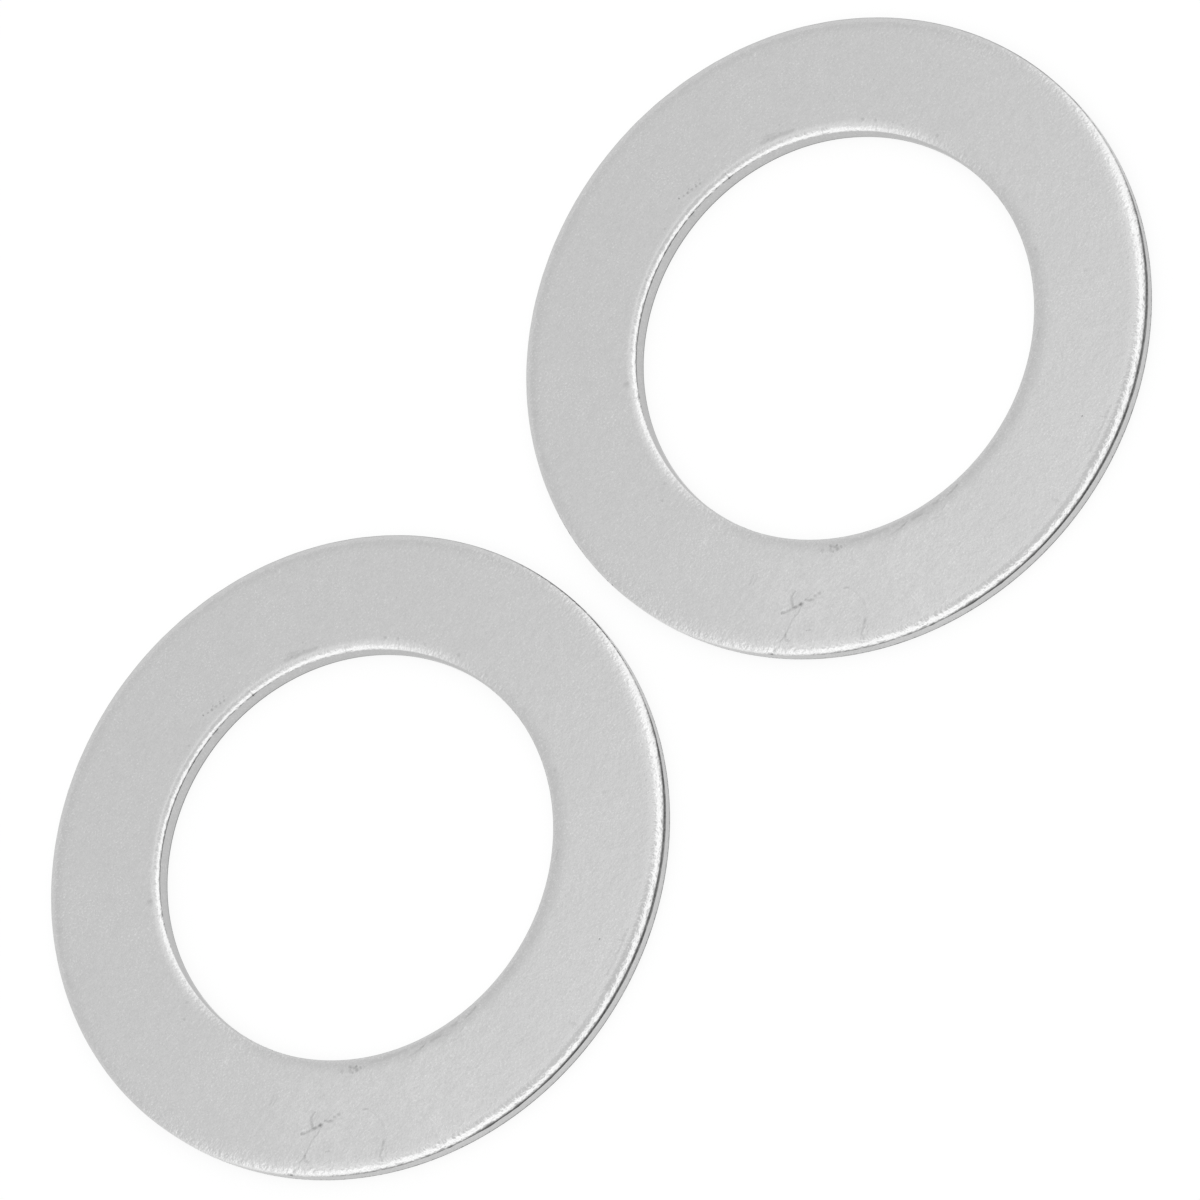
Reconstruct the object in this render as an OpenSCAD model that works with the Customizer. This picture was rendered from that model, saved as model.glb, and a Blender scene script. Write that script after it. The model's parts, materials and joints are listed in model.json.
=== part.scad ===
// A pair of flat wheel washers, lying side by side with their rolled faces up.
// Each washer is one ring, blanked and pierced from steel sheet in one stroke,
// which rolls both upper edges over. Below its roll the rim has a smooth land,
// and then the sheet broke away, so the lower part of that wall leans back.
// The bore opens out a little towards its roll, and its land lies low.

/* [Washer] */
// Outside diameter over the smooth land of the rim
washer_d = 31.75; // [27:0.25:44]
// Diameter of the bore at its smooth land, which the axle passes through
bore_d = 20.2; // [8:0.1:26]
// Thickness of the sheet
sheet_t = 0.9; // [0.7:0.05:2.5]

/* [Rolled upper edges] */
// How far the rolled edge reaches in from the rim
rim_roll_w = 1; // [0.3:0.05:1.6]
// How far the rolled edge drops at the rim
rim_roll_h = 0.26; // [0.04:0.01:0.3]
// How late the drop comes towards the rim: a high number keeps the face flat for longer
rim_roll_power = 5; // [2:0.1:6]
// How far the rolled edge reaches out from the bore
bore_roll_w = 0.75; // [0.2:0.05:1]
// How far the rolled edge drops at the bore
bore_roll_h = 0.17; // [0.04:0.01:0.22]
// How late the drop comes towards the bore
bore_roll_power = 4; // [1.5:0.1:6]

/* [Walls] */
// Height above the lower face at which the rim's smooth land ends and the break begins
break_h = 0.25; // [0.05:0.01:0.28]
// How far the rim's wall has leaned back by the time it meets the lower face
break_lean = 0.03; // [0.01:0.01:0.12]
// Height above the lower face at which the bore's smooth land ends
bore_land_h = 0.4; // [0.1:0.01:0.45]
// How far the bore's wall has opened out by the time it meets its rolled edge
bore_flare = 0.06; // [0.01:0.01:0.12]
// Width of the small flat that tumbling leaves on the sharp lower edges
tumbled_edge = 0.03; // [0.01:0.01:0.045]

/* [Pair] */
// Clear space between the two rims where they come closest
pair_gap = 1.75; // [0.5:0.25:20]

/* [Hidden] */
steel_grey = [0.66, 0.67, 0.68];
rim_r = washer_d / 2;
bore_r = bore_d / 2;
mouth_r = bore_r + bore_flare;
pitch = washer_d + pair_gap;
// Straight steps in each rolled edge, how much closer they lie towards the wall,
// and sides of a full turn on screen
roll_steps = 14;
step_power = 1.4;
$fn = 240;

// A rolled edge from the top of its wall, which it meets at a corner, to the flat
// of the face. The sheet is pulled down by a power of the way to the wall.
// Inward is -1 at the rim, where metal lies towards the axis, and 1 at the bore.
function rolled_edge(wall_r, inward, reach, drop, power) = [
    for (i = [0 : roll_steps])
        let (from_wall = pow(i / roll_steps, step_power))
        [wall_r + inward * reach * from_wall, sheet_t - drop * pow(1 - from_wall, power)]
];

// The rim's broken wall, from the lower face up to where the smooth land begins
rim_wall = [
    [rim_r - break_lean - tumbled_edge, 0],
    [rim_r - break_lean, tumbled_edge],
    [rim_r, break_h]
];

// The bore's smooth land, from the lower face up to where the wall begins to open out
bore_wall = [
    [bore_r + tumbled_edge, 0],
    [bore_r, tumbled_edge],
    [bore_r, bore_land_h]
];

function reversed(points) = [for (i = [len(points) - 1 : -1 : 0]) points[i]];

// Half section of the ring, with the axis of the washer at x = 0
module ring_section() {
    polygon(concat(
        rim_wall,
        rolled_edge(rim_r, -1, rim_roll_w, rim_roll_h, rim_roll_power),
        reversed(rolled_edge(mouth_r, 1, bore_roll_w, bore_roll_h, bore_roll_power)),
        reversed(bore_wall)
    ));
}

module washer() {
    color(steel_grey) rotate_extrude() ring_section();
}

module washer_left() {
    translate([-pitch / 2, 0, 0]) washer();
}

module washer_right() {
    translate([pitch / 2, 0, 0]) washer();
}

washer_left();
washer_right();
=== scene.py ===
# A pair of plated steel wheel washers on a white table, in the soft light of a white tent.
import json
import math

import bpy
import numpy as np
from mathutils import Matrix, Vector, noise


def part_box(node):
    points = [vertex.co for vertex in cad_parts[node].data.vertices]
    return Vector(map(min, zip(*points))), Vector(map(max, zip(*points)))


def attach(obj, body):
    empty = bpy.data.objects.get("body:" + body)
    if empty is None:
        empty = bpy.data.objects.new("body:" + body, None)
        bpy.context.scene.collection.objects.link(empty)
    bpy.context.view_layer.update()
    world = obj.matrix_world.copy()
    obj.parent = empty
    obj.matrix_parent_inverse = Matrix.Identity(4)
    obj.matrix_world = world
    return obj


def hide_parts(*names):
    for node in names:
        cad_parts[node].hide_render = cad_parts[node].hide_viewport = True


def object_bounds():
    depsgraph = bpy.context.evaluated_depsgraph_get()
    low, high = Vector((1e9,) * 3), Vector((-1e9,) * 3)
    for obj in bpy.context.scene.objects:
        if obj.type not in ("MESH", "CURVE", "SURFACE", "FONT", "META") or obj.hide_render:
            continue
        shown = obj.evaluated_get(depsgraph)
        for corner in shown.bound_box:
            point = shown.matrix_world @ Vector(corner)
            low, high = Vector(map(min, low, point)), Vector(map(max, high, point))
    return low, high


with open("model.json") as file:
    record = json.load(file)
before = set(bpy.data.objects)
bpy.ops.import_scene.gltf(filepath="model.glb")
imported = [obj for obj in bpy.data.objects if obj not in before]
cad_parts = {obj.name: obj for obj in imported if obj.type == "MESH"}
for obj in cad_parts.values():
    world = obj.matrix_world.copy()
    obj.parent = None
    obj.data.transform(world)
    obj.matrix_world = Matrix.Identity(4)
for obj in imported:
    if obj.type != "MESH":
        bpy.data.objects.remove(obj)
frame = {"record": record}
cad_low, cad_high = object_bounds()

MM = 0.001
MICRON = 0.000001

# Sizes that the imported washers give, in millimetres
right_low, right_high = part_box("washer_right")
rim_r = (right_high.y - right_low.y) / 2 / MM
sheet_t = (right_high.z - right_low.z) / MM
bore_mounts = [m for m in frame["record"]["mounts"] if m["kind"] == "bore"]
bore_r = bore_mounts[0]["dims"]["r_mm"]

# The rolled edge of the rim. The die sat a little off centre, so it isn't the same all around:
# bearing in degrees, reach over the face, drop, and drop of the small rounding between roll and wall
RIM_EDGE = (
    (-174, 0.98, 0.152, 0.010),
    (-144, 1.04, 0.178, 0.012),
    (-129, 0.95, 0.195, 0.012),
    (-114, 0.95, 0.200, 0.012),
    (-104, 0.95, 0.236, 0.020),
    (-94, 0.95, 0.242, 0.018),
    (-84, 0.95, 0.252, 0.032),
    (-74, 0.98, 0.268, 0.038),
    (-64, 0.99, 0.270, 0.042),
    (-54, 0.97, 0.272, 0.046),
    (-44, 1.03, 0.288, 0.046),
    (-34, 1.10, 0.288, 0.036),
    (-24, 1.12, 0.276, 0.015),
    (-14, 0.97, 0.254, 0.008),
    (-4, 0.86, 0.232, 0.008),
    (6, 0.88, 0.228, 0.010),
    (30, 0.95, 0.235, 0.008),
    (90, 0.95, 0.220, 0.010),
    (150, 0.95, 0.175, 0.010),
)
# How late the drop comes towards the rim, and the reach of the small rounding
rim_power = 3.85
rim_corner_reach = 0.08
# The rolled edge of the bore
bore_reach = 0.77
bore_drop = 0.157
bore_power = 3.3
# It is wider and comes earlier towards one side. Its small rounding at the wall is full on the side
# across from that, and elsewhere only the least share of it is left
wide_bore_bearing = -70
wide_bore_share = 0.25
early_bore_power = 0.3
round_bore_bearing = 120
round_bore_angle = 45
bore_corner_reach = 0.05
bore_corner_drop = 0.009
least_corner_share = 0.1

# The wall of the rim below its smooth land, where the sheet broke away, and how late it leans back
break_h = 0.25
break_lean = 0.03
lean_power = 1.4
# The smooth land of the bore, which lies low, and the flare of its wall above that
bore_land_h = 0.40
bore_flare = 0.06
tumbled_edge = 0.03
# Depth of the tears in the walls, how suddenly they end at the top, and unevenness of lands and rolls
rim_tear = 0.014
bore_tear = 0.006
tear_end_power = 4
ragged_land = 0.025
ragged_rim = 0.003
wavy_rim = 0.007
ragged_bore = 0.002
# Depth and size of the dents in the rolls, how much of a roll they cover, and what share of their depth
# is left in the rings next to the wall
dent_depth = 0.008
dent_size = 0.21
dent_cover = 0.35
dents_by_wall = 0.4
rings_by_wall = 3

# Seeds of the chance unevenness, and the fewest and most waves that it has around a ring
rim_roll_seed = 11
bore_roll_seed = 12
wavy_rim_seed = 13
rim_break_seed = 20
bore_land_seed = 40
land_waves = (60, 360)
roll_waves = (60, 200)
slow_waves = (15, 70)
tear_waves = (40, 500)

# Columns of faces around each ring, rings in each part of the section, and how much closer the rings of
# a roll lie towards its wall
round_steps = 1440
land_steps = 3
break_steps = 6
flare_steps = 6
rim_roll_steps = 16
bore_roll_steps = 14
step_power = 1.6
# Edges that bend by more than this many degrees stay sharp
sharp_angle = 24

# Small nicks in the edges: bearing in degrees, half width along the edge and depth
RIM_NICKS = (
    (-144.4, 0.09, 0.06),
    (-119.0, 0.10, 0.030),
    (-114.8, 0.12, 0.045),
    (-107.0, 0.40, 0.05),
    (-101.0, 0.15, 0.035),
    (-93.5, 0.10, 0.030),
    (-72.0, 0.12, 0.03),
    (-60.0, 0.15, 0.03),
    (-28.0, 0.2, 0.025),
)
BORE_NICKS = (
    (79.2, 0.10, 0.035),
    (92.8, 0.08, 0.030),
    (103.3, 0.10, 0.020),
    (114.4, 0.06, 0.012),
    (147.3, 0.06, 0.012),
)


def side(turn, bearing):
    """1 on the side of the ring that the bearing points to, and -1 across from it."""
    return np.cos(turn - math.radians(bearing))


def ripple(turn, seed, wave_range, waves=40):
    """Seeded unevenness along an edge, mostly between -1 and 1, that closes up around the ring."""
    fewest, most = wave_range
    draw = np.random.default_rng(seed)
    counts = draw.integers(fewest, most, waves)
    starts = draw.uniform(0, 2 * math.pi, waves)
    total = sum(np.sin(count * turn + start) for count, start in zip(counts, starts))
    return total / math.sqrt(waves)


def bulge(turn, bearing, half_angle):
    """1 at the bearing, falling off to nothing beyond about twice the half angle, in degrees."""
    away = np.degrees(np.angle(np.exp(1j * (turn - math.radians(bearing)))))
    return np.exp(-(away / half_angle) ** 2)


def nicked(turn, radius, nicks):
    """Depth of the nicks along an edge."""
    depth = np.zeros_like(turn)
    for bearing, half_width, deep in nicks:
        depth = depth + deep * bulge(turn, bearing, math.degrees(half_width / radius))
    return depth


def lower_edge(turn, wall_r, inward):
    """Rings of a tumbled lower edge, from the lower face up to the wall.
    Inward is the way into the metal: -1 at the rim and 1 at the bore."""
    rings = []
    for angle in (0, 30, 60, 90):
        bend = math.radians(angle)
        away = tumbled_edge * (1 - math.sin(bend))
        height = tumbled_edge * (1 - math.cos(bend))
        rings.append((wall_r + inward * away + 0 * turn, height + 0 * turn))
    return rings


def tears(turn, depth, share, seed):
    """How deep the tears in a wall are, at this share of the way up the torn part."""
    return depth * (1 - share ** tear_end_power) * np.abs(ripple(turn, seed, tear_waves))


def rim_wall(turn, land_end):
    """Rings of the rim's wall: the tumbled lower edge, the broken part and the smooth land above it."""
    rings = lower_edge(turn, rim_r - break_lean, -1)
    break_end = break_h + ragged_land * ripple(turn, rim_break_seed, land_waves)
    for step in range(1, break_steps + 1):
        share = step / break_steps
        lean = break_lean * (1 - share) ** lean_power
        tear = tears(turn, rim_tear, share, rim_break_seed + step)
        rings.append((rim_r - lean - tear, tumbled_edge + (break_end - tumbled_edge) * share))
    for step in range(1, land_steps + 1):
        share = step / land_steps
        rings.append((rim_r + 0 * turn, break_end + (land_end - break_end) * share))
    return rings


def bore_wall(turn, wall_end):
    """Rings of the bore's wall: the tumbled lower edge, the smooth land and the flare above it."""
    rings = lower_edge(turn, bore_r, 1)
    land_end = bore_land_h + ragged_land * ripple(turn, bore_land_seed, land_waves)
    for step in range(1, land_steps + 1):
        rings.append((bore_r + 0 * turn, tumbled_edge + (land_end - tumbled_edge) * step / land_steps))
    for step in range(1, flare_steps + 1):
        share = step / flare_steps
        tear = tears(turn, bore_tear, share, bore_land_seed + step)
        rings.append((bore_r + bore_flare * share + tear, land_end + (wall_end - land_end) * share))
    return rings


def rolled_edge(wall_r, inward, roll, corner, steps):
    """Rings of a rolled edge, from just above its wall to the flat of the face.
    The roll is given as reach, drop and power, and the rounded corner at the wall as reach and drop."""
    reach, drop, power = roll
    corner_reach, corner_drop = corner
    rings = []
    for step in range(1, steps + 1):
        away = reach * (step / steps) ** step_power
        height = sheet_t - drop * (1 - away / reach) ** power
        height = height - corner_drop * np.maximum(0, 1 - away / corner_reach) ** 2
        rings.append((wall_r + inward * away, height))
    return rings


def dented(radius, height, turn, weight):
    """The height of a rolled ring after the small dents that tumbling leaves in it."""
    heights = height.copy()
    for index, (r, angle) in enumerate(zip(radius, turn)):
        spot = Vector((r * math.cos(angle), r * math.sin(angle), 0)) / dent_size
        heights[index] -= dent_depth * weight * max(0, noise.noise(spot) + dent_cover)
    return heights


def washer_rings():
    """Every ring of points of a washer, in order around its section, as radius and height in mm."""
    turn = np.linspace(0, 2 * math.pi, round_steps, endpoint=False)
    bearings, *columns = zip(*RIM_EDGE)
    edge = [np.interp(np.degrees(turn), bearings, column, period=360) for column in columns]
    reach_out, drop_out, corner_out = edge
    ragged_out = ragged_rim * ripple(turn, rim_roll_seed, roll_waves)
    wavy_out = wavy_rim * ripple(turn, wavy_rim_seed, slow_waves)
    drop_out = drop_out + (ragged_out + wavy_out) + nicked(turn, rim_r, RIM_NICKS)
    ragged_in = ragged_bore * ripple(turn, bore_roll_seed, roll_waves)
    drop_in = bore_drop + ragged_in + nicked(turn, bore_r, BORE_NICKS)
    reach_in = bore_reach * (1 + wide_bore_share * side(turn, wide_bore_bearing))
    power_in = bore_power - early_bore_power * side(turn, wide_bore_bearing)
    corner_share = bulge(turn, round_bore_bearing, round_bore_angle)
    corner_in = bore_corner_drop * (least_corner_share + (1 - least_corner_share) * corner_share)
    mouth_r = bore_r + bore_flare

    outer = rim_wall(turn, sheet_t - drop_out - corner_out)
    roll_out = (reach_out, drop_out, rim_power)
    outer_roll = rolled_edge(rim_r, -1, roll_out, (rim_corner_reach, corner_out), rim_roll_steps)
    roll_in = (reach_in, drop_in, power_in)
    inner_roll = rolled_edge(mouth_r, 1, roll_in, (bore_corner_reach, corner_in), bore_roll_steps)
    inner = bore_wall(turn, sheet_t - drop_in - corner_in)
    face = []
    for share in (0.25, 0.5, 0.75):
        middle = (rim_r - reach_out) * (1 - share) + (mouth_r + reach_in) * share
        face.append((middle, sheet_t + 0 * turn))
    for roll in (outer_roll, inner_roll):
        count = len(roll)
        for index, (r, z) in enumerate(roll):
            weight = 1 - (index + 1) / count if index >= rings_by_wall else dents_by_wall
            roll[index] = (r, dented(r, z, turn, weight))
    rings = outer + outer_roll + face + inner_roll[::-1] + inner[::-1]
    return turn, rings


def washer_mesh(name):
    """The whole skin of one washer about its own axis, in metres."""
    turn, rings = washer_rings()
    radius = np.array([r for r, _ in rings]) * MM
    height = np.array([z for _, z in rings]) * MM
    points = np.stack((radius * np.cos(turn), radius * np.sin(turn), height), axis=-1)
    ring_count = len(rings)
    lower = np.arange(ring_count)[:, None] * round_steps
    upper = (np.arange(ring_count)[:, None] + 1) % ring_count * round_steps
    here = np.arange(round_steps)[None, :]
    ahead = (here + 1) % round_steps
    faces = np.stack((lower + here, lower + ahead, upper + ahead, upper + here), axis=-1).reshape(-1, 4)
    mesh = bpy.data.meshes.new(name)
    mesh.from_pydata(points.reshape(-1, 3).tolist(), [], faces.tolist())
    mesh.polygons.foreach_set("use_smooth", [True] * len(mesh.polygons))
    mesh.set_sharp_from_angle(angle=math.radians(sharp_angle))
    mesh.update()
    return mesh


class Wire:
    """An output socket. Sums on it add Math nodes to its shader."""

    def __init__(self, shader, socket):
        self.shader = shader
        self.socket = socket

    def maths(self, operation, *values):
        """The result of a new Math node on these values."""
        return self.shader.add("ShaderNodeMath", {"operation": operation}, dict(enumerate(values)))

    def __add__(self, other):
        return self.maths("ADD", self, other)

    def __radd__(self, other):
        return self.maths("ADD", other, self)

    def __sub__(self, other):
        return self.maths("SUBTRACT", self, other)

    def __rsub__(self, other):
        return self.maths("SUBTRACT", other, self)

    def __mul__(self, other):
        return self.maths("MULTIPLY", self, other)

    def __rmul__(self, other):
        return self.maths("MULTIPLY", other, self)

    def __pow__(self, other):
        return self.maths("POWER", self, other)

    def most(self, other):
        return self.maths("MAXIMUM", self, other)

    def least(self, other):
        return self.maths("MINIMUM", self, other)


class Shader:
    """The nodes of a material or of the world."""

    def __init__(self, owner):
        owner.use_nodes = True
        self.tree = owner.node_tree
        self.tree.nodes.clear()

    def add(self, kind, settings=None, sockets=None, output=0):
        """Adds a node, makes its settings and then sets or links its sockets.
        Returns one of its outputs, if it has any."""
        node = self.tree.nodes.new(kind)
        for name, value in (settings or {}).items():
            setattr(node, name, value)
        for key, value in (sockets or {}).items():
            if isinstance(value, Wire):
                self.tree.links.new(value.socket, node.inputs[key])
            else:
                node.inputs[key].default_value = value
        return Wire(self, node.outputs[output]) if node.outputs else None

    def vector(self, operation, *values, scale=None, output=0):
        """The result of a new Vector Math node on these values."""
        sockets = dict(enumerate(values))
        if scale is not None:
            sockets["Scale"] = scale
        return self.add("ShaderNodeVectorMath", {"operation": operation}, sockets, output)

    def step(self, value, start, end):
        """0 below start and 1 above end, with a soft rise between them."""
        ends = {0: value, 1: start, 2: end, 3: 0.0, 4: 1.0}
        return self.add("ShaderNodeMapRange", {"interpolation_type": "SMOOTHSTEP"}, ends)

    def grain(self, place, size, detail=2.0, roughness=0.5):
        """Noise between about -1 and 1 whose spots are about that size, in metres."""
        sockets = {"Vector": place, "Scale": 1 / size, "Detail": detail, "Roughness": roughness}
        return self.add("ShaderNodeTexNoise", {"noise_dimensions": "3D"}, sockets) * 4 - 2


# Thin scratches on the face: the points they run through, in millimetres from the washer's axis, their
# half width and how much of the light they take, or give where the number is below zero. The ones that
# give light are painted highlights along the edges of the scratches beside them
SCRATCHES_AND_HIGHLIGHTS = (
    (((-11.2, -8.18), (-10.85, -8.36), (-10.3, -8.6)), 0.065, 0.24),
    (((-10.62, -8.38), (-10.45, -8.1), (-10.28, -7.95), (-10.05, -7.9)), 0.06, 0.20),
    (((-10.4, -8.18), (-10.0, -8.08)), 0.045, 0.11),
    (((-10.0, -8.6), (-9.5, -8.65)), 0.03, 0.09),
    (((-9.95, -8.62), (-9.87, -8.8), (-9.7, -8.9)), 0.06, 0.22),
    (((-10.3, -8.7), (-10.7, -8.78), (-11.35, -8.9), (-11.8, -9.1), (-12.25, -9.15)), 0.04, 0.12),
    (((-11.83, -9.12), (-11.97, -9.3), (-11.9, -9.5)), 0.06, 0.14),
    (((-11.0, -9.75), (-10.85, -9.85), (-10.8, -10.0)), 0.04, 0.14),
    (((-8.28, -9.68), (-8.13, -9.88)), 0.05, 0.15),
    (((-8.1, -10.0), (-8.05, -10.5), (-8.12, -11.1), (-8.45, -11.55)), 0.04, 0.05),
    (((-8.6, -11.68), (-8.9, -11.85), (-9.3, -12.1), (-9.38, -12.35)), 0.06, 0.17),
    (((-8.7, -11.95), (-9.0, -12.1)), 0.035, 0.09),
    (((-11.3, -5.85), (-10.85, -5.7)), 0.04, 0.11),
    (((-11.2, -6.0), (-10.8, -5.85)), 0.035, 0.08),
    (((-5.05, -9.6), (-4.6, -9.7), (-4.0, -9.75)), 0.05, 0.11),
    (((-3.7, -9.9), (-3.2, -10.05)), 0.07, 0.15),
    (((-2.5, -10.15), (-2.25, -10.22)), 0.07, 0.14),
    (((-1.75, -10.43), (-1.1, -10.42)), 0.05, 0.16),
    (((-3.3, -10.1), (-2.8, -10.4)), 0.05, 0.06),
    (((-6.5, -8.25), (-5.9, -8.65), (-5.2, -9.05), (-4.85, -9.2)), 0.09, 0.07),
    (((-4.6, -9.35), (-3.6, -9.75), (-3.0, -9.95)), 0.08, 0.06),
    (((-5.1, -9.95), (-4.6, -9.8), (-4.2, -9.75)), 0.05, 0.07),
    (((-3.05, -10.7), (-2.8, -10.85)), 0.05, 0.09),
    (((-2.7, -10.85), (-2.25, -10.68)), 0.05, 0.08),
    (((-0.95, -13.4), (-0.6, -13.5)), 0.06, 0.07),
    (((1.5, -14.7), (1.65, -14.98)), 0.06, 0.09),
    (((0.9, -10.45), (1.6, -10.4)), 0.05, 0.06),
    (((6.9, -7.95), (6.55, -8.22)), 0.06, 0.08),
    (((4.2, 9.88), (4.7, 9.66), (5.2, 9.4), (5.65, 9.1)), 0.09, 0.12),
    (((4.4, 9.97), (4.9, 9.77)), 0.06, 0.10),
    (((4.35, -14.45), (5.0, -14.2), (5.6, -14.0), (6.3, -13.7)), 0.06, 0.09),
    (((3.9, -14.95), (5.2, -14.57), (6.5, -14.05), (7.2, -13.7), (7.9, -13.3), (8.7, -12.8)), 0.12, 0.06),
    (((5.9, -13.6), (6.05, -13.85)), 0.05, 0.08),
    (((6.1, -13.7), (6.6, -13.6)), 0.05, 0.07),
    (((1.92, 9.99), (1.965, 10.24)), 0.035, 0.25),
    (((6.50, 7.82), (6.66, 8.01)), 0.03, 0.18),
    (((-4.19, 9.265), (-4.30, 9.49)), 0.03, 0.18),
    (((-0.577, 10.15), (-0.591, 10.4)), 0.03, 0.16),
    (((-8.55, 5.50), (-8.76, 5.64)), 0.03, 0.18),
    (((13.4, -4.0), (13.55, -4.5), (13.5, -5.0)), 0.03, 0.06),
    # Painted highlights: bright strokes along the edges of the scratches above
    (((-11.15, -8.05), (-10.95, -8.15)), 0.04, -0.06),
    (((-10.28, -8.03), (-10.05, -8.0)), 0.03, -0.05),
    (((-10.65, -8.88), (-10.35, -8.86)), 0.03, -0.05),
    (((-9.2, -12.18), (-8.85, -11.96)), 0.035, -0.05),
)
# Small dark spots, or bright ones where the number is below zero: place, radius and strength
SPOTS_AND_PAINTED_LIGHT = (
    ((-10.25, -8.6), 0.13, 0.30),
    ((-10.54, -8.5), 0.09, 0.24),
    ((-9.5, -8.87), 0.08, 0.34),
    ((-9.27, -8.95), 0.09, 0.24),
    ((-9.1, -9.05), 0.06, 0.08),
    ((-9.1, -12.3), 0.06, 0.10),
    ((-7.0, -8.08), 0.08, 0.24),
    ((-6.83, -8.18), 0.07, 0.20),
    ((-7.42, -7.97), 0.07, 0.24),
    ((-7.08, -7.84), 0.07, 0.22),
    ((-7.45, -7.8), 0.11, 0.24),
    ((-7.3, -7.66), 0.11, 0.24),
    ((-7.2, -7.85), 0.10, 0.22),
    ((-7.2, -8.04), 0.12, 0.24),
    ((-7.75, -7.5), 0.10, 0.20),
    ((8.72, 6.2), 0.09, 0.14),
    ((8.95, 5.85), 0.06, 0.12),
    ((9.2, 5.4), 0.06, 0.12),
    ((9.4, 4.9), 0.12, 0.12),
    ((10.15, 3.15), 0.12, 0.13),
    ((10.52, -1.5), 0.10, 0.08),
    ((10.2, -3.45), 0.09, 0.08),
    ((9.45, -4.95), 0.11, 0.12),
    ((5.3, -12.85), 0.055, 0.34),
    ((10.4, -7.65), 0.12, 0.10),
    ((8.7, -9.5), 0.10, 0.07),
    ((-8.55, 6.4), 0.18, 0.14),
    ((-11.3, 0.7), 0.09, 0.14),
    ((-10.65, 1.2), 0.09, 0.12),
    ((-12.5, 9.0), 0.20, 0.06),
    ((-0.43, 11.17), 0.06, 0.24),
    ((-0.2, 11.11), 0.07, 0.22),
    ((0.05, 11.03), 0.08, 0.24),
    ((0.3, 10.97), 0.07, 0.22),
    ((0.52, 10.9), 0.08, 0.24),
    ((0.78, 10.87), 0.07, 0.22),
    ((0.2, 11.13), 0.07, 0.20),
    ((0.55, 11.02), 0.05, 0.18),
    ((0.9, 11.05), 0.05, 0.14),
    ((5.15, 9.52), 0.06, 0.16),
    ((4.55, 9.78), 0.07, 0.14),
    ((5.4, 9.85), 0.06, 0.14),
    ((-1.94, 10.6), 0.07, 0.14),
    ((8.3, 6.75), 0.10, 0.13),
    ((10.05, 7.75), 0.05, 0.16),
    ((13.9, 6.1), 0.12, 0.08),
    ((-4.6, 13.2), 0.10, -0.07),
    ((-6.6, 10.4), 0.08, -0.08),
    ((-10.5, 8.9), 0.09, -0.07),
    ((-12.0, 3.7), 0.08, -0.09),
    ((-11.7, 2.6), 0.07, -0.08),
    ((9.6, 8.1), 0.10, -0.06),
    ((11.9, 6.9), 0.08, -0.08),
    ((13.15, 2.3), 0.07, -0.08),
    ((12.5, -0.2), 0.12, -0.07),
    ((12.4, -3.5), 0.08, -0.08),
    ((10.6, -8.9), 0.08, -0.08),
    ((5.9, -11.4), 0.08, -0.08),
    ((-11.3, -2.5), 0.14, -0.06),
    ((-7.7, -8.95), 0.08, -0.09),
    ((7.05, 13.45), 0.10, -0.06),
    ((-2.15, -10.8), 0.10, -0.09),
    ((-1.05, -11.38), 0.08, -0.10),
    ((-6.7, -13.6), 0.12, 0.06),
    ((0.35, -14.6), 0.10, 0.05),
    # Painted light: these two wide soft spots lighten the face near the rim on that side, where more
    # light falls
    ((-5.4, -12.05), 3.0, -0.03),
    ((-9.95, -8.65), 3.0, -0.03),
)


def scratch_distance(shader, place, start, end):
    """How far each point of the face is from a straight scratch, in metres."""
    start = Vector((*start, 0)) * MM
    along = Vector((*end, 0)) * MM - start
    reached = shader.vector("SUBTRACT", place, start)
    share = shader.vector("DOT_PRODUCT", reached, along / along.length_squared, output="Value")
    share = share.most(0.0).least(1.0)
    nearest = shader.vector("SCALE", along, scale=share)
    return shader.vector("DISTANCE", reached, nearest, output="Value")


# How far out a mark keeps its full strength, and from where on a scratch and a spot are gone, in shares
# of their half width or radius
mark_core = 0.2
scratch_fade = 1.8
spot_fade = 1.4
# How much of a mark is left where it is broken up
faintest_mark = 0.1


def wear_and_painted_light(shader, flat_place, broken):
    """Light that the scratches and spots take from the face, or give where their strength is below zero;
    some of that is painted highlights and painted light. They are broken up along their length.
    """
    total = 0
    for route, half_width, strength in SCRATCHES_AND_HIGHLIGHTS:
        away = None
        for start, end in zip(route, route[1:]):
            reach = scratch_distance(shader, flat_place, start, end)
            away = reach if away is None else away.least(reach)
        faded = shader.step(away, mark_core * half_width * MM, scratch_fade * half_width * MM)
        total = total + strength * (1 - faded)
    for spot, size, strength in SPOTS_AND_PAINTED_LIGHT:
        away = shader.vector("DISTANCE", flat_place, Vector((*spot, 0)) * MM, output="Value")
        faded = shader.step(away, mark_core * size * MM, spot_fade * size * MM)
        total = total + strength * (1 - faded)
    return total * broken.most(faintest_mark)


# Sizes of the patterns in the plating, in millimetres
cloud_size = 2.5
blotch_size = 0.55
fine_size = 0.16
speck_size = 0.09
tumbled_size = 0.18
# The marks wander off their straight lines in steps of this size, within a band of this width
wander_size = 0.3
wander_band = 0.2
# Grey of the plating, of its mirror image where it is seen edge-on, and its roughness
plating_grey = 0.6
edge_on_grey = 0.8
plating_roughness = 0.10
# Painted shade at the foot of the walls, where they stand on the table: its strength and the heights
# where it is full and gone
foot_shade_strength = 0.85
foot_shade_full = 0.03
foot_shade_gone = 0.12
# How much the bore's wall is darkened, a painted shade for the shaded table that it mirrors inside the
# hole, and where that ends, in shares of the flare beyond the bore
bore_painted_shade = 0.12
bore_shade_ends = (1.1, 1.7)
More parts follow.
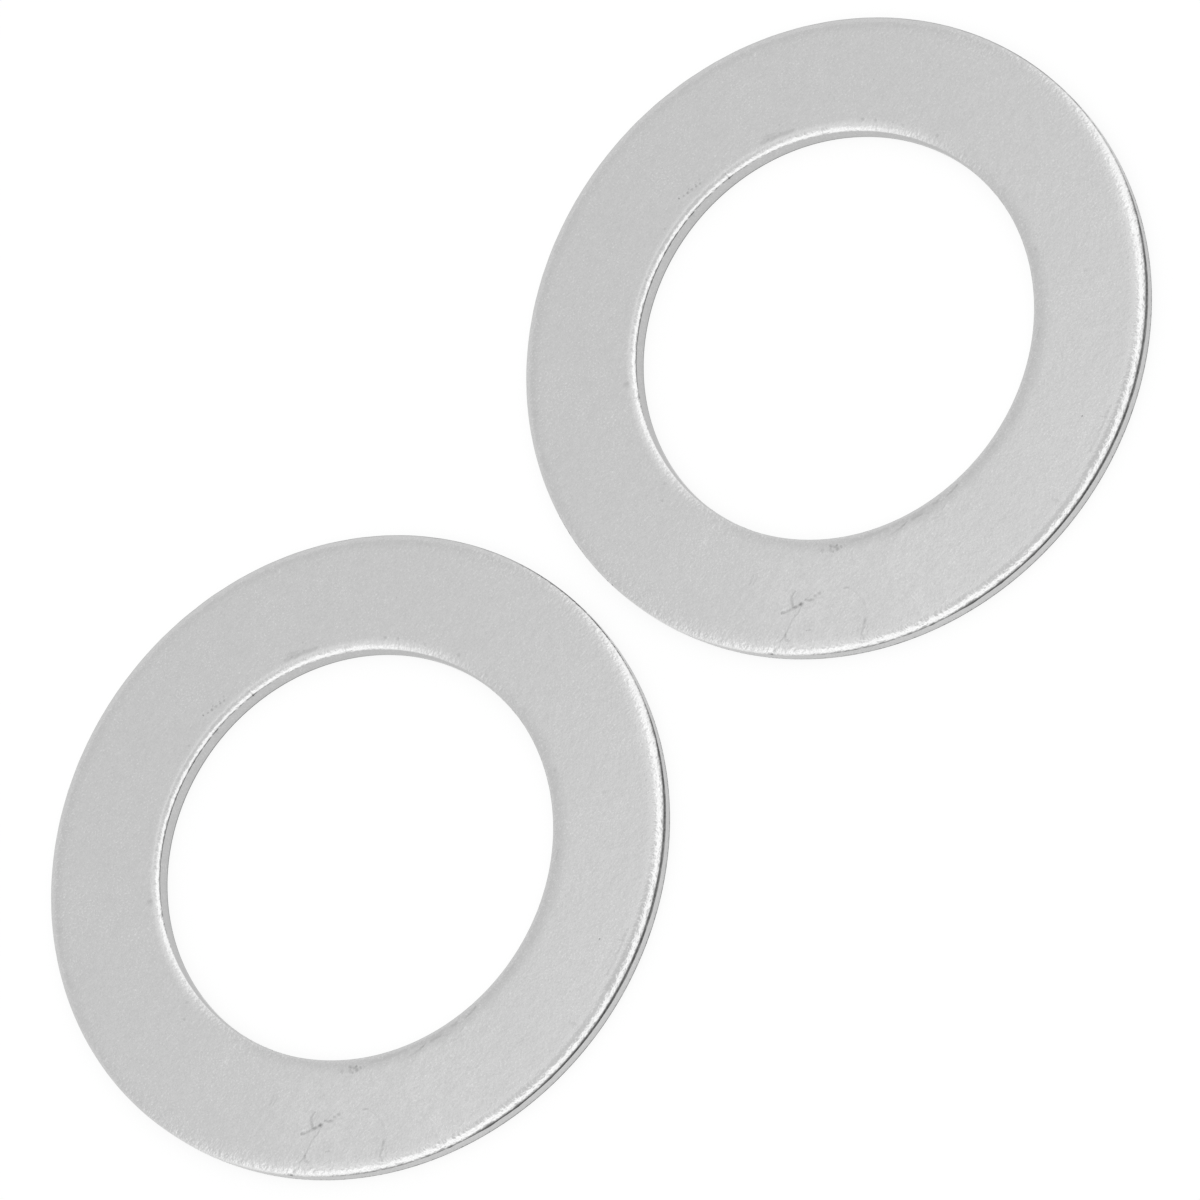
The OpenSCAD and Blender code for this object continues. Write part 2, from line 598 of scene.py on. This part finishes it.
# How much the steep part of a roll is darkened, a painted dark reflection of the low gap in the tent, and
# how far up its skin faces at its foot and at its top
steep_painted_dark = 0.67
steep_foot = (0.3, 0.5)
steep_top = (0.61, 0.79)
# How strong the specks are where they begin to glint and where they glint in full
glint_ends = (0.75, 1.15)
# How far below the face the fine dents of a roll begin, where they are full, where they begin to fade
# again, and where only the faint share of them is left
roll_drops = (0.004, 0.05, 0.10, 0.22)
faint_dents = 0.4
# Near the rim the face has some of them too: from where, in shares of the radius, and how much
dented_face = (0.93, 0.96)
dented_face_share = 0.3
# How deep they are on the bore's roll and how much deeper on the rim's, in microns, and the two radii
# that the change lies between
bore_dents = 3.4
rim_dents_extra = 2.4
dents_change = (11.5, 12.5)
# How far the face would fall from the axis to the rim if it kept the faint crown it shows, in microns
crown_height = 228


def plated_steel():
    """Dull zinc plating over tumbled sheet: fine grain, soft blotches, glints and dents in the rolls.
    Painted shade darkens the foot of the walls and the bore's wall, and a painted dark reflection lies on
    the steep part of each roll.
    """
    material = bpy.data.materials.new("plated_steel")
    shader = Shader(material)
    place = shader.add("ShaderNodeTexCoord", output="Object")
    flat_place = shader.vector("MULTIPLY", place, (1.0, 1.0, 0.0))
    radius = shader.vector("LENGTH", flat_place, output="Value")
    height = shader.add("ShaderNodeSeparateXYZ", None, {0: place}, output="Z")
    skin = shader.add("ShaderNodeTexCoord", output="Normal")
    upright = shader.add("ShaderNodeSeparateXYZ", None, {0: skin}, output="Z")

    cloud = shader.grain(place, cloud_size * MM)
    blotch = shader.grain(place, blotch_size * MM)
    fine = shader.grain(place, fine_size * MM, 1.0)
    speck = shader.grain(place, speck_size * MM, 0.0)
    tumbled = shader.grain(place, tumbled_size * MM, 1.0)
    wander_sockets = {"Vector": place, "Scale": 1 / (wander_size * MM)}
    wander = shader.add("ShaderNodeTexNoise", None, wander_sockets, output="Color")
    wander = shader.vector("SUBTRACT", wander, (0.5, 0.5, 0.5))
    wander = shader.vector("MULTIPLY", wander, (wander_band * MM, wander_band * MM, 0.0))
    broken = 1 + 0.5 * fine + 0.5 * blotch
    marks = wear_and_painted_light(shader, shader.vector("ADD", flat_place, wander), broken)

    # Painted shade: the foot of each wall is darkened where the table's shadow falls against it
    foot_shade = foot_shade_strength * (1 - shader.step(height, foot_shade_full * MM, foot_shade_gone * MM))
    # Painted shade: the bore's wall is darkened, standing in for the shaded table that it mirrors inside
    # the hole
    bore_shade_start, bore_shade_end = ((bore_r + share * bore_flare) * MM for share in bore_shade_ends)
    in_bore = 1 - shader.step(radius, bore_shade_start, bore_shade_end)
    # Painted dark reflection: the steep part of each roll is darkened by which way its skin faces, as
    # where it would mirror the tent's low dark gap
    steep = (1 - shader.step(upright, *steep_top)) * shader.step(upright, *steep_foot)
    glint = shader.step(speck + 0.35 * cloud, *glint_ends)
    bright = 1 + 0.006 * cloud + 0.014 * blotch + 0.03 * fine + 0.03 * speck + 0.09 * glint
    bright = bright * (1 - marks) * (1 - foot_shade) * (1 - bore_painted_shade * in_bore)
    bright = bright * (1 - steep * (steep_painted_dark + 0.10 * blotch + 0.08 * fine))
    colour = shader.vector("SCALE", (plating_grey, plating_grey, plating_grey), scale=bright)

    start, full, fade, faint = ((sheet_t - drop) * MM for drop in roll_drops)
    rolled = 1 - shader.step(height, full, start)
    rolled = rolled * (faint_dents + (1 - faint_dents) * shader.step(height, faint, fade))
    face_start, face_end = (share * rim_r * MM for share in dented_face)
    rolled = rolled.most(dented_face_share * shader.step(radius, face_start, face_end))
    change_start, change_end = (r * MM for r in dents_change)
    dents = bore_dents + rim_dents_extra * shader.step(radius, change_start, change_end)
    crown = (radius * (1 / (rim_r * MM))) ** 2 * crown_height
    relief = fine + 0.4 * speck + 1.8 * blotch + rolled * (dents * tumbled + 2.5 * fine) - crown
    bump = {"Strength": 1.0, "Distance": MICRON, "Height": relief}
    surface = shader.add("ShaderNodeBsdfPrincipled", None, {
        "Base Color": colour,
        "Metallic": 1.0,
        "Specular Tint": (edge_on_grey, edge_on_grey, edge_on_grey, 1.0),
        "Roughness": plating_roughness + 0.01 * blotch,
        "Normal": shader.add("ShaderNodeBump", None, bump),
    })
    shader.add("ShaderNodeOutputMaterial", None, {"Surface": surface})
    return material


def washers(material):
    """One dressed washer in place of each packed one, standing exactly where that one stands."""
    mesh = washer_mesh("washer_skin")
    for node in ("washer_left", "washer_right"):
        low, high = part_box(node)
        skin = mesh.copy()
        skin.materials.append(material)
        piece = bpy.data.objects.new(node + "_skin", skin)
        bpy.context.scene.collection.objects.link(piece)
        piece.location = ((low.x + high.x) / 2, (low.y + high.y) / 2, low.z)
        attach(piece, "root")
        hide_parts(node)


# The camera looks down on the washers through a long lens, from a little to the right of straight ahead
camera_azimuth = math.radians(6.25)
camera_elevation = math.radians(60.76)
camera_roll = math.radians(52.8)
camera_distance = 0.9525
camera_lens = 603
camera_shift = (-0.0009, -0.0005)
# Level ways to the right of that line of sight, and back along it towards the camera
across = Vector((math.cos(camera_azimuth), math.sin(camera_azimuth), 0))
front = Vector((math.sin(camera_azimuth), -math.cos(camera_azimuth), 0))


def camera():
    """The camera at the photograph's angle, turned about its own line of sight."""
    back = front * math.cos(camera_elevation) + Vector((0, 0, math.sin(camera_elevation)))
    up = back.cross(across)
    right_edge = across * math.cos(camera_roll) - up * math.sin(camera_roll)
    top_edge = across * math.sin(camera_roll) + up * math.cos(camera_roll)
    data = bpy.data.cameras.new("camera")
    data.lens = camera_lens
    data.sensor_width = 36
    data.shift_x, data.shift_y = camera_shift
    data.clip_end = 20
    seen_from = bpy.data.objects.new("camera", data)
    turned = Matrix((right_edge, top_edge, back)).transposed().to_4x4()
    seen_from.matrix_world = Matrix.Translation(back * camera_distance) @ turned
    bpy.context.scene.collection.objects.link(seen_from)
    bpy.context.scene.camera = seen_from


def seen_plainly(shader, *rays):
    """1 for the kinds of ray that see plain white, and 0 for the light that falls on the washers."""
    seen = shader.add("ShaderNodeLightPath", output=rays[0])
    for ray in rays[1:]:
        seen = seen.most(shader.add("ShaderNodeLightPath", output=ray))
    return seen


WHITE = (1.0, 1.0, 1.0, 1.0)
# The table top reaches this far each way in metres, and lies this far below the washers in millimetres
table_reach = 4.0
table_gap = 0.01
# Its paint, and how much of its whiteness is plain, without shadow
TABLE_PAINT = (0.95, 0.95, 0.95, 1.0)
plain_share = 0.85


def table():
    """A plain white table top, which keeps the soft shadow of the washers."""
    mesh = bpy.data.meshes.new("table_top")
    corners = [(x * table_reach, y * table_reach, 0) for x, y in ((-1, -1), (1, -1), (1, 1), (-1, 1))]
    mesh.from_pydata(corners, [], [(0, 1, 2, 3)])
    floor = bpy.data.objects.new("table_top", mesh)
    floor.location.z = cad_low.z - table_gap * MM
    bpy.context.scene.collection.objects.link(floor)
    material = bpy.data.materials.new("white_table")
    shader = Shader(material)
    paint = shader.add("ShaderNodeBsdfDiffuse", None, {"Color": TABLE_PAINT})
    white = shader.add("ShaderNodeEmission", None, {"Color": WHITE, "Strength": 1.0})
    plain = seen_plainly(shader, "Is Camera Ray", "Is Glossy Ray", "Is Transmission Ray")
    surface = shader.add("ShaderNodeMixShader", None, {0: plain_share * plain, 1: paint, 2: white})
    shader.add("ShaderNodeOutputMaterial", None, {"Surface": surface})
    mesh.materials.append(material)


# How bright the parts of the tent are, where 1 is plain white
top_light = 0.9062
side_light = 1.1155
near_light = 1.62
right_extra = 0.2
far_light = 0.8762
far_foot_extra = 0.10
gap_light = 0.50
# Where each part begins and where it is full: by how level the way to it is, from 0 overhead to 1 at the
# height of the table, or by how far that way goes towards the camera's side or to the right
wall_levels = (0.1227, 0.5852)
far_levels = (0.2929, 0.5039)
foot_levels = (0.84, 0.95)
gap_levels = (0.67, 1.07)
near_forward = (-0.7593, 0.0828)
gap_forward = (-0.3, 0.35)
right_sideways = (0.7, 0.95)
# How much further the near walls come round on the right, and how much higher the gap reaches in front
near_slant = 0.05
gap_slant = 0.12


def tent():
    """A white tent around the table. Its walls on the camera's side and beside it are the brightest,
    the top is a little dimmer, and a dark gap is left low down in front, where the camera stands."""
    world = bpy.data.worlds.new("tent")
    bpy.context.scene.world = world
    shader = Shader(world)
    way = shader.add("ShaderNodeTexCoord", output="Generated")
    sideways = shader.vector("DOT_PRODUCT", way, across, output="Value")
    forward = shader.vector("DOT_PRODUCT", way, front, output="Value")
    level = (sideways * sideways + forward * forward) ** 0.5

    walls = shader.step(level, *wall_levels)
    near = shader.step(forward + near_slant * sideways, *near_forward)
    to_right = shader.step(sideways, *right_sideways)
    wall_light = side_light + (near_light - side_light) * near + right_extra * to_right
    far_back = shader.step(level, *far_levels) * (1 - near)
    far_foot = shader.step(level, *foot_levels)
    wall_light = wall_light * (1 - far_back) + (far_light + far_foot_extra * far_foot) * far_back
    light = top_light * (1 - walls) + wall_light * walls
    gap = shader.step(level + gap_slant * forward, *gap_levels) * shader.step(forward, *gap_forward)
    light = light * (1 - gap) + gap_light * gap

    # The metal mirrors the tent's own light, which draws the lines on its rolled edges
    plain = seen_plainly(shader, "Is Camera Ray", "Is Transmission Ray")
    strength = light * (1 - plain) + plain
    surface = shader.add("ShaderNodeBackground", None, {"Color": WHITE, "Strength": strength})
    shader.add("ShaderNodeOutputWorld", None, {"Surface": surface})


camera()
table()
tent()
washers(plated_steel())
bpy.context.scene.view_settings.view_transform = "Standard"
